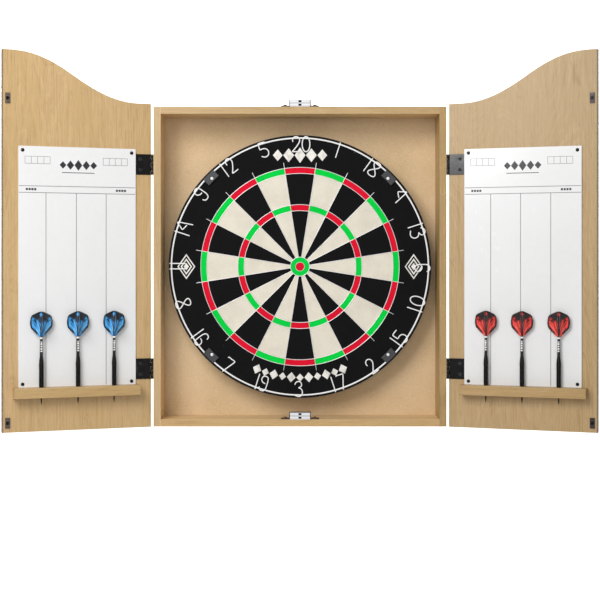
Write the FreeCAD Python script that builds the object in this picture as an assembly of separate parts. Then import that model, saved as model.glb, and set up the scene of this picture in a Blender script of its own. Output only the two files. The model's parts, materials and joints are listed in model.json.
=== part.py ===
import FreeCAD, Part
import math
import os

# Wall-hung dart board cabinet, shown open: a shallow wooden box with a bristle
# board inside, two arched doors on butt hinges, and on each door's inner face
# a scoreboard, a dart rail and three darts.  Millimetres.
# Frame: origin on the back face, at the centre of the wall-hole pattern and at
# the height of the bull.  +X to the right seen from the front, +Z up, +Y into
# the wall, so the front faces -Y.

V = FreeCAD.Vector
os.makedirs("parts", exist_ok=True)

# ---------------------------------------------------------------- dimensions
# box
BOX_W = 500.0            # outer width
BOX_H = 546.0            # outer height
PANEL_T = 12.0           # side, top and bottom panels
INNER_DEPTH = 72.0       # front edge to the face of the back panel
BACK_T = 5.0             # back panel
REBATE = 6.0             # how far the back panel is let into the frame
WALL_HOLE_X = 406.4      # hole spacing, 16 inch studs
WALL_HOLE_Z = 120.0
WALL_HOLE_R = 2.5

# doors
DOOR_T = 12.0
DOOR_OPEN_DEG = 160.0    # opening in the stored pose
DOOR_BOTTOM_Z = -273.8
DOOR_EDGE_W = 1.0        # hinge-side edge, from the hinge axis
DOOR_FREE_W = 251.35     # free edge, from the hinge axis
AXIS_OUT = 2.6           # hinge axis beyond the side panel's outer face
AXIS_BACK = 1.1          # hinge axis behind the front edge
INNER_FACE = -2.6        # door's inner face, from the hinge axis
DOOR_TOP = [(1.0, 277.8), (22.0, 277.9), (38.0, 278.8), (56.0, 282.0), (78.0, 289.2),
            (102.0, 300.6), (125.0, 314.4), (142.0, 325.6), (162.0, 337.6), (184.0, 347.8),
            (207.0, 354.9), (229.0, 357.9), (251.35, 358.2)]

# hinges
HINGE_Z = (174.0, -174.0)
HINGE_H = 35.0
KNUCKLES = 5
KNUCKLE_R = 2.3
BORE_R = 1.25
PIN_R = 1.2
LEAF_T = 1.2
LEAF_W = 28.0
HINGE_SCREW_W = 20.5
HINGE_SCREW_DZ = 9.2

# scoreboards
BOARD_T = 2.5
SCORE_W0, SCORE_W1 = 28.4, 225.4
SCORE_Z0, SCORE_Z1 = -199.9, 199.6

# dart rails and darts
RAIL_W0, RAIL_W1 = 24.0, 234.5
RAIL_Z0, RAIL_Z1 = -217.0, -200.0
RAIL_D = 21.0
RAIL_HOLE_R = 2.4
DART_W = (67.0, 128.0, 189.0)
DART_OFF = 9.8           # dart axis off the door's inner face
POINT_R = 1.15
DART_TIP_Z = -229.0
BARREL_Z0, BARREL_Z1 = -199.9, -149.5
FLIGHT_Z0, FLIGHT_Z1 = -116.4, -74.3
FLIGHT_HALF = 18.6
FLIGHT_T = 0.35

# dartboard
DB_R = 227.2
BAND_T = 1.0
DB_T = 38.0
BACKING_T = 6.0
DB_GAP = 3.5             # air between the board and the back panel
R_DOUBLE_OUT, R_DOUBLE_IN = 171.6, 161.0
R_TREBLE_OUT, R_TREBLE_IN = 107.2, 96.6
R_BULL_OUT, R_BULL_IN = 16.5, 7.6
SPIDER_END = 181.5
WIRE = 1.4
RING_R = 222.0
RING_WIRE = 2.8
DIGIT_WIRE = 2.0
DIGIT_H = 26.0
DIGIT_W = 13.5
STROKE = 2.0
NUMBERS = (20, 1, 18, 4, 13, 6, 10, 15, 2, 17, 3, 19, 7, 16, 8, 11, 14, 9, 12, 5)
BOTTOM_OUTWARD = (10, 15, 2, 17, 3, 19, 7, 16, 8)
CLIP_SCREW_R = 215.0
CLIP_R0, CLIP_R1 = 210.5, 224.4
CLIP_T = 3.4

# derived
HW = BOX_W / 2.0
HH = BOX_H / 2.0
FRONT = -(INNER_DEPTH + BACK_T)          # y of the front edges
BACK_FACE = -BACK_T                      # y of the back panel's front face
AX = HW + AXIS_OUT                       # |x| of the hinge axes
AY = FRONT + AXIS_BACK                   # y of the hinge axes
DB_BACK = BACK_FACE - DB_GAP             # y of the board's rear face
DB_FRONT = DB_BACK - DB_T                # y of the playing face
DART_O = INNER_FACE + DART_OFF

NODES = {}


# ------------------------------------------------------------------- helpers
def box(x0, y0, z0, x1, y1, z1):
    return Part.makeBox(x1 - x0, y1 - y0, z1 - z0, V(x0, y0, z0))


def cyl(p, d, r, h):
    return Part.makeCylinder(r, h, V(*p), V(*d))


def lathe(points):
    """Solid of revolution about Z from a closed (r, z) outline."""
    wire = Part.makePolygon([V(r, 0, z) for r, z in points] + [V(points[0][0], 0, points[0][1])])
    return Part.Face(wire).revolve(V(0, 0, 0), V(0, 0, 1), 360)


def aim(shape, pos, direction, spin=0.0):
    """Turn local +Z to direction and move the origin to pos."""
    s = shape.copy()
    rot = FreeCAD.Rotation(V(0, 0, 1), V(*direction)).multiply(FreeCAD.Rotation(V(0, 0, 1), spin))
    s.Placement = FreeCAD.Placement(V(*pos), rot)
    return s


def solids(shape):
    return Part.makeCompound(shape.Solids) if len(shape.Solids) != 1 else shape.Solids[0]


def fuse(shapes):
    shapes = list(shapes)
    s = shapes[0]
    if len(shapes) > 1:
        s = s.multiFuse(shapes[1:])
    return solids(s.removeSplitter())


def group(shapes):
    out = []
    for s in shapes:
        out.extend(s.Solids)
    return Part.makeCompound(out)


def cross_recess(size, depth):
    a = box(-size, -size * 0.19, -depth, size, size * 0.19, 3.0)
    b = box(-size * 0.19, -size, -depth, size * 0.19, size, 3.0)
    return a.fuse(b)


def csk_screw(head_r, head_h, shank_r, length, spin=0.0):
    """Countersunk screw, head face at z=0, shank down -Z."""
    s = lathe([(0, 0), (head_r, 0), (head_r, -0.12), (shank_r, -head_h), (shank_r, -length + 2.2),
               (0.25, -length), (0, -length)])
    r = cross_recess(head_r * 0.62, 0.85)
    r.rotate(V(0, 0, 0), V(0, 0, 1), spin)
    return s.cut(r)


def pan_screw(head_r, head_h, shank_r, length, spin=0.0):
    """Pan-head screw, underside of the head at z=0, shank down -Z."""
    s = lathe([(0, head_h), (head_r * 0.45, head_h * 0.97), (head_r * 0.78, head_h * 0.72),
               (head_r * 0.95, head_h * 0.36), (head_r, 0.15), (head_r, 0), (shank_r, 0),
               (shank_r, -length + 2.2), (0.25, -length), (0, -length)])
    r = cross_recess(head_r * 0.58, 0.85)
    r.rotate(V(0, 0, 0), V(0, 0, 1), spin)
    r.translate(V(0, 0, head_h))
    return s.cut(r)


def pilot(shank_r, length):
    """What a screw of this size drills out of the wood, opening at z=0."""
    return lathe([(0, 0.5), (shank_r, 0.5), (shank_r, -length + 2.2), (0.25, -length), (0, -length)])


def csk_hole(head_r, head_h, shank_r):
    return lathe([(0, 1), (head_r, 1), (head_r, -0.12), (shank_r, -head_h), (shank_r, -head_h - 3), (0, -head_h - 3)])


def mirrored(shape):
    return shape.mirror(V(0, 0, 0), V(1, 0, 0))


# ------------------------------------------------------------------ the box
panels = {
    "left_side_panel": box(-HW, FRONT, -HH, -HW + PANEL_T, 0, HH),
    "right_side_panel": box(HW - PANEL_T, FRONT, -HH, HW, 0, HH),
    "top_panel": box(-HW + PANEL_T, FRONT, HH - PANEL_T, HW - PANEL_T, 0, HH),
    "bottom_panel": box(-HW + PANEL_T, FRONT, -HH, HW - PANEL_T, 0, -HH + PANEL_T),
}
XI = HW - PANEL_T + REBATE
ZI = HH - PANEL_T + REBATE
rebate = box(-XI, -BACK_T, -ZI, XI, 1, ZI)
for k in panels:
    panels[k] = panels[k].cut(rebate)

back = box(-XI, -BACK_T, -ZI, XI, 0, ZI)
for sx in (-1, 1):
    for sz in (-1, 1):
        back = back.cut(cyl((sx * WALL_HOLE_X / 2, -BACK_T - 1, sz * WALL_HOLE_Z / 2), (0, 1, 0), WALL_HOLE_R, BACK_T + 2))

# L-shaped steel brackets round the outside of the four corners
BRK_T, BRK_Y0, BRK_Y1, BRK_SIDE, BRK_TOP = 1.2, -47.0, -31.0, 24.5, 25.5
BRK_SCREW_SIDE, BRK_SCREW_TOP = 18.0, 13.6
brackets, bracket_screws = [], []
brk_y = (BRK_Y0 + BRK_Y1) / 2
corner_screw = pan_screw(3.0, 2.0, 1.4, 10.0, 20)
for sx in (-1, 1):
    for sz in (-1, 1):
        def bx(x0, z0, x1, z1):
            return box(min(sx * x0, sx * x1), BRK_Y0, min(sz * z0, sz * z1), max(sx * x0, sx * x1), BRK_Y1, max(sz * z0, sz * z1))
        side = bx(HW, HH - BRK_SIDE, HW + BRK_T, HH + BRK_T)
        top = bx(HW - BRK_TOP, HH, HW + BRK_T, HH + BRK_T)
        b = fuse([side, top])
        ps = (sx * (HW + BRK_T), brk_y, sz * (HH - BRK_SCREW_SIDE))
        pt = (sx * (HW - BRK_SCREW_TOP), brk_y, sz * (HH + BRK_T))
        for p, d in ((ps, (sx, 0, 0)), (pt, (0, 0, sz))):
            hole = aim(cyl((0, 0, -4), (0, 0, 1), 1.4, 8), p, d)
            b = b.cut(hole)
            bracket_screws.append(aim(corner_screw, p, d))
            for k in panels:
                panels[k] = panels[k].cut(aim(pilot(1.4, 10.0), p, d))
        brackets.append(b)

# ------------------------------------------------------------------- hinges
# Built once for a left-hand hinge, in hinge coordinates: w along +X from the
# pin, o along +Y, closed.
def knuckle_z(zc, i):
    h = HINGE_H / KNUCKLES
    return zc - HINGE_H / 2 + h * i, zc - HINGE_H / 2 + h * (i + 1)


CLR = 0.15
NOTCH = KNUCKLE_R + 0.4
cab_leaves, door_leaves, pins, cab_hinge_screws, door_hinge_screws = [], [], [], [], []
hinge_screw = csk_screw(2.9, LEAF_T, 1.5, 10.5, 30)
leaf_hole = csk_hole(2.95, LEAF_T, 1.55)
for zc in HINGE_Z:
    # leaf on the side panel's outer face, at |x| = HW .. HW + LEAF_T
    plate = box(-HW - LEAF_T, AY, zc - HINGE_H / 2, -HW, AY + LEAF_W, zc + HINGE_H / 2)
    rolls = []
    for i in range(KNUCKLES):
        z0, z1 = knuckle_z(zc, i)
        if i % 2 == 0:
            rolls.append(cyl((-AX, AY, z0 + (CLR if i else 0)), (0, 0, 1), KNUCKLE_R, z1 - z0 - (CLR if i else 0) - (CLR if i < KNUCKLES - 1 else 0)))
        else:
            plate = plate.cut(box(-HW - 5, AY - 1, z0 - CLR, -HW + 1, AY + NOTCH, z1 + CLR))
    leaf = fuse([plate] + rolls).cut(cyl((-AX, AY, zc - 30), (0, 0, 1), BORE_R, 60))
    for dz in (-HINGE_SCREW_DZ, HINGE_SCREW_DZ):
        p = (-HW - LEAF_T, AY + HINGE_SCREW_W, zc + dz)
        leaf = leaf.cut(aim(leaf_hole, p, (-1, 0, 0)))
        cab_hinge_screws.append(aim(hinge_screw, p, (-1, 0, 0), 17 * (1 if dz > 0 else 2)))
    cab_leaves.append(leaf)
    pins.append(cyl((-AX, AY, zc - HINGE_H / 2), (0, 0, 1), PIN_R, HINGE_H))
    # leaf on the door's inner face
    plate = box(-AX, AY + INNER_FACE, zc - HINGE_H / 2, -AX + LEAF_W, AY + INNER_FACE + LEAF_T, zc + HINGE_H / 2)
    rolls = []
    for i in range(KNUCKLES):
        z0, z1 = knuckle_z(zc, i)
        if i % 2:
            rolls.append(cyl((-AX, AY, z0 + CLR), (0, 0, 1), KNUCKLE_R, z1 - z0 - 2 * CLR))
            plate = plate.cut(box(-AX - 1, AY - 6, z0 - 0.001, -AX + 0.01, AY + 6, z0 + CLR))
            plate = plate.cut(box(-AX - 1, AY - 6, z1 - CLR, -AX + 0.01, AY + 6, z1 + 0.001))
        else:
            plate = plate.cut(box(-AX - 1, AY - 6, z0 - (CLR if i else 1), -AX + NOTCH, AY + 6, z1 + (CLR if i < KNUCKLES - 1 else 1)))
    leaf = fuse([plate] + rolls).cut(cyl((-AX, AY, zc - 30), (0, 0, 1), BORE_R, 60))
    for dz in (-HINGE_SCREW_DZ, HINGE_SCREW_DZ):
        p = (-AX + HINGE_SCREW_W, AY + INNER_FACE + LEAF_T, zc + dz)
        leaf = leaf.cut(aim(leaf_hole, p, (0, 1, 0)))
        door_hinge_screws.append(aim(hinge_screw, p, (0, 1, 0), 25 * (1 if dz > 0 else 3)))
    door_leaves.append(leaf)

side_pilots = [aim(pilot(1.5, 10.5), (-HW - LEAF_T, AY + HINGE_SCREW_W, zc + dz), (-1, 0, 0))
               for zc in HINGE_Z for dz in (-HINGE_SCREW_DZ, HINGE_SCREW_DZ)]
for p in side_pilots:
    panels["left_side_panel"] = panels["left_side_panel"].cut(p)
    panels["right_side_panel"] = panels["right_side_panel"].cut(mirrored(p))

NODES["cabinet_hinge_leaves"] = group(cab_leaves + [mirrored(s) for s in cab_leaves])
NODES["hinge_pins"] = group(pins + [mirrored(s) for s in pins])
NODES["cabinet_hinge_screws"] = group(cab_hinge_screws + [mirrored(s) for s in cab_hinge_screws])
NODES["corner_brackets"] = group(brackets)
NODES["corner_bracket_screws"] = group(bracket_screws)

# --------------------------------------------------------- magnetic catches
# One stands on top of the top panel and one on the bottom panel.  Each has a
# moulded housing with two ears, four steel pole plates and two magnets.
C_W, C_H, C_D = 37.0, 12.0, 15.0
EAR_W, EAR_T, EAR_D = 65.0, 2.2, 10.0
C_FRONT = FRONT + 0.3
POLE_W, POLE_H = 14.6, 3.2
housings, poles, magnets, catch_screws = [], [], [], []
catch_screw = pan_screw(3.2, 2.0, 1.5, 11.0, 12)
for z0 in (HH, -HH + PANEL_T):
    body = box(-C_W / 2, C_FRONT, z0, C_W / 2, C_FRONT + C_D, z0 + C_H)
    body = body.makeFillet(1.0, [e for e in body.Edges if abs(e.CenterOfMass.z - z0 - C_H) < 0.01 and e.Length > 10])
    ears = box(-EAR_W / 2, C_FRONT + 2.5, z0, EAR_W / 2, C_FRONT + 2.5 + EAR_D, z0 + EAR_T)
    ears = ears.makeFillet(3.0, [e for e in ears.Edges if e.BoundBox.ZLength > 2 and e.BoundBox.XLength < 0.01])
    h = fuse([body, ears])
    # upper and lower pole slots, and the two dark wells between them
    rows = (z0 + 1.5, z0 + C_H - 1.3 - POLE_H)
    for zr in rows:
        for sx in (-1, 1):
            xa = 2.6 if sx > 0 else -2.6 - POLE_W
            h = h.cut(box(xa, C_FRONT - 1, zr, xa + POLE_W, C_FRONT + 11, zr + POLE_H))
            poles.append(box(xa, C_FRONT - 0.5, zr, xa + POLE_W, C_FRONT + 11, zr + POLE_H))
        h = h.cut(box(-2.4, C_FRONT - 1, zr, 2.4, C_FRONT + 8, zr + POLE_H))
    for xs in (-C_W / 2 + 0.5, C_W / 2 - 1.1):
        h = h.cut(box(xs, C_FRONT - 1, z0 + EAR_T + 0.3, xs + 0.6, C_FRONT + 0.8, z0 + C_H - 1.2))
    for sx in (-1, 1):
        xa = 3.5 if sx > 0 else -3.5 - (POLE_W - 2.6)
        m = (xa, C_FRONT + 1.6, rows[0] + POLE_H, xa + POLE_W - 2.6, C_FRONT + 10.5, rows[1])
        h = h.cut(box(*m))
        magnets.append(box(*m))
        p = (sx * 25.4, C_FRONT + 2.5 + EAR_D / 2, z0 + EAR_T)
        slot = fuse([box(p[0] - 1.6, p[1] - 1.7, z0 - 1, p[0] + 1.6, p[1] + 1.7, z0 + 5),
                     cyl((p[0] - 1.6, p[1], z0 - 1), (0, 0, 1), 1.7, 6), cyl((p[0] + 1.6, p[1], z0 - 1), (0, 0, 1), 1.7, 6)])
        h = h.cut(slot)
        catch_screws.append(aim(catch_screw, p, (0, 0, 1), 40 * sx))
        key = "top_panel" if z0 > 0 else "bottom_panel"
        panels[key] = panels[key].cut(aim(pilot(1.5, 11.0), p, (0, 0, 1)))
    housings.append(h)
NODES["catch_housings"] = group(housings)
NODES["catch_pole_plates"] = group(poles)
NODES["catch_magnets"] = group(magnets)
NODES["catch_screws"] = group(catch_screws)

# ------------------------------------------------- bracket behind the board
# Pressed-steel hat section, screwed to the back panel, with an open-topped
# slot that the board's centre bolt drops into.
BR_T = 1.1
BR_OUT = BACK_FACE - 3.1                 # front face of the raised plate
hat = [box(-34, BACK_FACE - BR_T, -22, -16, BACK_FACE, 26), box(16, BACK_FACE - BR_T, -22, 34, BACK_FACE, 26),
       box(-17.1, BR_OUT, -22, -16, BACK_FACE, 26), box(16, BR_OUT, -22, 17.1, BACK_FACE, 26),
       box(-17.1, BR_OUT, -22, 17.1, BR_OUT + BR_T, 26)]
bracket = fuse(hat)
BOLT_R = 3.0
slot = fuse([cyl((0, BR_OUT - 1, 0), (0, 1, 0), BOLT_R + 0.05, BR_T + 1.5), box(-BOLT_R - 0.05, BR_OUT - 1, 0, BOLT_R + 0.05, BR_OUT + BR_T + 0.5, 30)])
bracket = bracket.cut(slot)
wall_screw = csk_screw(3.2, BR_T, 1.4, 5.2, 45)
bolts = []
for sx in (-1, 1):
    for z in (-14, 18):
        p = (sx * 26.0, BACK_FACE - BR_T, z)
        bracket = bracket.cut(aim(csk_hole(3.25, BR_T, 1.45), p, (0, -1, 0)))
        back = back.cut(aim(pilot(1.4, 5.2), p, (0, -1, 0)))
        bolts.append(aim(wall_screw, p, (0, -1, 0)))
NODES["board_bracket"] = solids(bracket)
NODES["board_bracket_screws"] = group(bolts)
NODES["back_panel"] = back
NODES.update(panels)

# ---------------------------------------------------------------- dartboard
core_r = DB_R - BAND_T
backing = cyl((0, DB_BACK, 0), (0, -1, 0), core_r, BACKING_T)
backing = backing.cut(cyl((0, DB_BACK + 1, 0), (0, -1, 0), 2.6, BACKING_T + 2))
bolt_profile = [(0, 1.4), (3.6, 1.4), (4.6, 0.9), (4.6, 0), (BOLT_R, 0), (BOLT_R, -1.75), (2.6, -1.75), (2.6, -7.6), (0.4, -9.2), (0, -9.2)]
# head behind the bracket's plate, collar in its slot, thread into the backing
bolt = aim(lathe(bolt_profile).cut(aim(cross_recess(2.4, 0.9), (0, 0, 1.4), (0, 0, 1))), (0, DB_BACK + 1.75, 0), (0, 1, 0))
sisal = cyl((0, DB_BACK - BACKING_T, 0), (0, -1, 0), core_r, DB_T - BACKING_T)
sisal = sisal.cut(cyl((0, DB_BACK - BACKING_T + 1, 0), (0, -1, 0), 2.6, 3.2))
band = cyl((0, DB_BACK, 0), (0, -1, 0), DB_R, DB_T).cut(cyl((0, DB_BACK + 1, 0), (0, -1, 0), core_r, DB_T + 2))


def flat_ring(r, width, height, y=DB_FRONT):
    return cyl((0, y, 0), (0, -1, 0), r + width / 2, height).cut(cyl((0, y + 1, 0), (0, -1, 0), r - width / 2, height + 2))


spider_parts = [flat_ring(r, WIRE, WIRE) for r in (R_DOUBLE_OUT, R_DOUBLE_IN, R_TREBLE_OUT, R_TREBLE_IN, R_BULL_OUT, R_BULL_IN)]
for i in range(20):
    a = 9 + 18 * i
    bar = box(-WIRE / 2, DB_FRONT - WIRE, R_BULL_OUT, WIRE / 2, DB_FRONT, SPIDER_END)
    bar.rotate(V(0, 0, 0), V(0, 1, 0), a)
    spider_parts.append(bar)
inner_bull_ring = spider_parts.pop(5)
spider = group([fuse(spider_parts), inner_bull_ring])

# digits of the number ring, drawn as flat strokes
H, W, S = DIGIT_H, DIGIT_W, STROKE
L0, R0, B0, T0, M = S / 2, W - S / 2, S / 2, H - S / 2, W / 2
A = (W - S) / 2
DIGITS = {
    "0": [("a", M, T0 - A, A, 0, 180), ("a", M, B0 + A, A, 180, 360), ("l", L0, B0 + A, L0, T0 - A), ("l", R0, B0 + A, R0, T0 - A)],
    "1": [("l", M, B0, M, T0)],
    "2": [("a", M, T0 - A, A, -30, 180), ("l", M + A * 0.866, T0 - A - A / 2, L0, B0), ("l", L0, B0, R0, B0)],
    "3": [("a", M, T0 - A, A, -90, 160), ("a", M, B0 + A + 0.35, A + 0.35, -160, 90)],
    "4": [("l", R0 - 3, B0, R0 - 3, T0), ("l", R0 - 3, T0, L0, B0 + 7), ("l", L0, B0 + 7, R0, B0 + 7)],
    "5": [("l", L0 + 0.6, T0, R0 - 0.6, T0), ("l", L0 + 0.6, T0, L0 + 0.6, B0 + 2 * A - 1), ("a", M, B0 + A + 0.2, A + 0.2, -155, 122)],
    "6": [("a", M, B0 + A, A, 0, 360), ("l", L0 + 0.35, B0 + A + 1.2, L0 + 1.6, T0 - A - 1), ("l", L0 + 1.6, T0 - A - 1, R0 - 2.4, T0)],
    "7": [("l", L0, T0, R0, T0), ("l", R0, T0, M - 2.2, B0)],
    "8": [("a", M, T0 - A + 0.35, A - 0.35, 0, 360), ("a", M, B0 + A, A, 0, 360)],
}


def stroke(e):
    t = DIGIT_WIRE
    if e[0] == "l":
        x0, z0, x1, z1 = e[1:]
        n = math.hypot(x1 - x0, z1 - z0)
        b = box(-S / 2, 0, -S / 2, n + S / 2, t, S / 2)
        b.rotate(V(0, 0, 0), V(0, 1, 0), -math.degrees(math.atan2(z1 - z0, x1 - x0)))
        b.translate(V(x0, 0, z0))
        return b
    cx, cz, r, a0, a1 = e[1:]
    outer = Part.makeCylinder(r + S / 2, t, V(0, 0, 0), V(0, 0, 1), a1 - a0)
    inner = Part.makeCylinder(r - S / 2, t + 2, V(0, 0, -1), V(0, 0, 1), 360)
    s = outer.cut(inner)
    s.rotate(V(0, 0, 0), V(0, 0, 1), a0)
    s.rotate(V(0, 0, 0), V(1, 0, 0), 90)     # local XY plane to XZ, extruded to -Y
    s.translate(V(cx, t, cz))
    return s


def digit(d):
    if d == "9":
        s = digit("6")
        s.rotate(V(M, 0, H / 2), V(0, 1, 0), 180)
        return s
    return fuse([stroke(e) for e in DIGITS[d]])


digit_shapes = {d: digit(d) for d in "0123456789"}
ring_parts = [flat_ring(RING_R, RING_WIRE, RING_WIRE)]
for i, n in enumerate(NUMBERS):
    text = str(n)
    widths = [S if c == "1" else W for c in text]
    total = sum(widths) + 4.6 * (len(text) - 1)
    x = -total / 2
    low = n in BOTTOM_OUTWARD
    for c, w in zip(text, widths):
        s = digit_shapes[c].copy()
        s.translate(V(x - (M - S / 2 if c == "1" else 0), DB_FRONT - DIGIT_WIRE, -H / 2))
        mid = RING_R - H / 2 + 0.35
        if low:
            s.translate(V(0, 0, -mid))
            s.rotate(V(0, 0, 0), V(0, 1, 0), 18 * i + 180)
        else:
            s.translate(V(0, 0, mid))
            s.rotate(V(0, 0, 0), V(0, 1, 0), 18 * i)
        ring_parts.append(s)
        x += w + 4.6
number_ring = fuse(ring_parts)

# clips that hold the ring down, one on each diagonal
clips, clip_screws = [], []
clip_screw = pan_screw(2.7, 1.3, 1.5, 14.0, 45)
for k in range(4):
    ang = 45 + 90 * k
    c = cyl((0, DB_FRONT, 0), (0, -1, 0), CLIP_R1, CLIP_T).cut(cyl((0, DB_FRONT + 1, 0), (0, -1, 0), CLIP_R0, 6.0))
    c = c.common(box(-12.0, DB_FRONT - 5, 150, 12.0, DB_FRONT, 240))
    c = c.cut(flat_ring(RING_R, RING_WIRE + 0.1, RING_WIRE + 0.05, DB_FRONT))
    c = c.cut(cyl((0, DB_FRONT + 1, CLIP_SCREW_R), (0, -1, 0), 1.55, 8))
    s = aim(clip_screw, (0, DB_FRONT - CLIP_T, CLIP_SCREW_R), (0, -1, 0), 30 * k)
    hole = aim(pilot(1.5, 14.0), (0, DB_FRONT - CLIP_T, CLIP_SCREW_R), (0, -1, 0))
    for t in (c, s, hole):
        t.rotate(V(0, 0, 0), V(0, 1, 0), ang)
    sisal = sisal.cut(hole)
    clips.append(solids(c))
    clip_screws.append(s)

pads = []
for k in range(4):
    a = math.radians(45 + 90 * k)
    pads.append(cyl((180 * math.cos(a), DB_BACK, 180 * math.sin(a)), (0, 1, 0), 9.0, DB_GAP - 0.3))

NODES.update({
    "board_backing": backing, "sisal_bed": sisal, "rim_band": band, "spider": spider,
    "number_ring": number_ring, "ring_clips": group(clips), "clip_screws": group(clip_screws),
    "centre_bolt": bolt, "rubber_spacers": group(pads),
})

# -------------------------------------------------------------------- doors
# Built closed for the left side, then swung open; the right door mirrors it.
def local(w, o, z):
    return V(-AX + w, AY + o, z)


def lbox(w0, o0, z0, w1, o1, z1):
    return box(-AX + w0, AY + o0, z0, -AX + w1, AY + o1, z1)


curve = Part.BSplineCurve()
curve.interpolate(Points=[local(w, INNER_FACE, z) for w, z in DOOR_TOP], InitialTangent=V(1, 0, 0), FinalTangent=V(1, 0, 0))
edges = [curve.toShape(),
         Part.makeLine(local(DOOR_FREE_W, INNER_FACE, DOOR_TOP[-1][1]), local(DOOR_FREE_W, INNER_FACE, DOOR_BOTTOM_Z)),
         Part.makeLine(local(DOOR_FREE_W, INNER_FACE, DOOR_BOTTOM_Z), local(DOOR_EDGE_W, INNER_FACE, DOOR_BOTTOM_Z)),
         Part.makeLine(local(DOOR_EDGE_W, INNER_FACE, DOOR_BOTTOM_Z), local(DOOR_EDGE_W, INNER_FACE, DOOR_TOP[0][1]))]
panel = Part.Face(Part.Wire(edges)).extrude(V(0, -DOOR_T, 0))
for zc in HINGE_Z:
    for dz in (-HINGE_SCREW_DZ, HINGE_SCREW_DZ):
        panel = panel.cut(aim(pilot(1.5, 10.5), local(HINGE_SCREW_W, INNER_FACE + LEAF_T, zc + dz), (0, 1, 0)))

face = INNER_FACE + BOARD_T
score = lbox(SCORE_W0, INNER_FACE, SCORE_Z0, SCORE_W1, face, SCORE_Z1)
score = score.makeFillet(1.5, [e for e in score.Edges if abs(e.BoundBox.YLength - BOARD_T) < 0.01 and e.BoundBox.XLength < 0.01])
score_screw = pan_screw(3.0, 1.6, 1.3, 11.0, 10)
score_screws = []
for n, (w, z) in enumerate(((35.4, 192.8), (218.6, 192.8), (35.4, -194.4), (218.6, -194.4))):
    p = local(w, face, z)
    score = score.cut(cyl((p.x, p.y + 1, p.z), (0, -1, 0), 1.35, 5))
    panel = panel.cut(aim(pilot(1.3, 11.0), p, (0, 1, 0)))
    score_screws.append(aim(score_screw, p, (0, 1, 0), 23 * n))

rail = lbox(RAIL_W0, INNER_FACE, RAIL_Z0, RAIL_W1, INNER_FACE + RAIL_D, RAIL_Z1)
rail = rail.makeFillet(1.2, [e for e in rail.Edges if e.BoundBox.XLength > 100 and e.CenterOfMass.y > AY])
for w in DART_W:
    rail = rail.cut(cyl(tuple(local(w, DART_O, RAIL_Z0 - 1)), (0, 0, 1), RAIL_HOLE_R, 30))

STRIKE = (238.4, 246.8)
strikes, strike_screws = [], []
strike_screw = csk_screw(3.1, 1.0, 1.2, 8.5, 45)
for z0, z1 in ((269.0, 286.6), (-266.7, -249.1)):
    s = lbox(STRIKE[0], INNER_FACE, z0, STRIKE[1], INNER_FACE + 1.0, z1)
    p = local(sum(STRIKE) / 2, INNER_FACE + 1.0, (z0 + z1) / 2)
    s = s.cut(aim(csk_hole(3.15, 1.0, 1.25), p, (0, 1, 0)))
    panel = panel.cut(aim(pilot(1.2, 8.5), p, (0, 1, 0)))
    strikes.append(s)
    strike_screws.append(aim(strike_screw, p, (0, 1, 0)))

door = {
    "door_panel": panel, "door_hinge_leaves": group(door_leaves), "door_hinge_screws": group(door_hinge_screws),
    "scoreboard": score, "scoreboard_screws": group(score_screws), "dart_rail": rail,
    "strike_plates": group(strikes), "strike_screws": group(strike_screws),
}

# darts: steel point pressed into a knurled barrel, stem, folded-film flight
barrel_profile = [(POINT_R, BARREL_Z0), (3.3, BARREL_Z0), (3.75, BARREL_Z0 + 1.6)]
z = BARREL_Z0 + 6.0
barrel_profile.append((3.95, z))
for k in range(13):
    barrel_profile += [(3.95, z + 0.9), (3.55, z + 1.15), (3.55, z + 1.6), (3.95, z + 1.85)]
    z += 2.1
barrel_profile += [(3.95, BARREL_Z1 - 11.5), (3.4, BARREL_Z1 - 5.0), (2.75, BARREL_Z1), (1.3, BARREL_Z1), (1.3, BARREL_Z1 - 6), (0, BARREL_Z1 - 6),
                   (0, BARREL_Z0 + 14), (POINT_R, BARREL_Z0 + 14)]
barrel0 = lathe(barrel_profile)
point0 = lathe([(0, DART_TIP_Z), (0.18, DART_TIP_Z + 0.3), (POINT_R, DART_TIP_Z + 6.5), (POINT_R, BARREL_Z0 + 14), (0, BARREL_Z0 + 14)])
C0 = FLIGHT_Z0 - 0.4
shaft0 = lathe([(0, BARREL_Z1 - 6), (1.3, BARREL_Z1 - 6), (1.3, BARREL_Z1), (2.65, BARREL_Z1), (2.65, BARREL_Z1 + 1.5), (2.2, C0 - 5),
                (2.2, C0 - 3.2), (2.55, C0 - 3.0), (2.55, C0 - 0.2), (2.3, C0), (1.9, C0), (1.6, C0 + 13), (0, C0 + 13)])


def fin(points, direction):
    """A film blade: outline in (r, z), thickness centred on the axis."""
    wire = Part.makePolygon([V(r, -FLIGHT_T / 2, z) for r, z in points] + [V(points[0][0], -FLIGHT_T / 2, points[0][1])])
    f = Part.Face(wire).extrude(V(0, FLIGHT_T, 0))
    f.rotate(V(0, 0, 0), V(0, 0, 1), direction)
    return f


Z0, Z1, FH = FLIGHT_Z0, FLIGHT_Z1, FLIGHT_HALF
outline = [(0, Z0), (2.6, Z0), (3.4, Z0 + 0.5), (FH - 1.4, Z0 + 14.2), (FH - 0.3, Z0 + 16.4), (FH, Z0 + 18.6), (FH, Z1 - 13.5), (FH - 0.4, Z1 - 11.0),
           (FH - 1.6, Z1 - 8.2), (FH - 4.0, Z1 - 5.6), (2.2, Z1 - 0.3), (1.0, Z1), (0, Z1)]
blades = [fin(outline, d) for d in (0, 90, 180)]
# the rear blade is pressed flat against the scoreboard: a short root, then a
# strip folded sideways
FOLD = 4.6


def clip_outline(r0, r1):
    """Outline of the blade between radii r0 and r1."""
    b = fin(outline, 0)
    return b.common(box(r0, -5, Z0 - 5, r1, 5, Z1 + 5))


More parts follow.
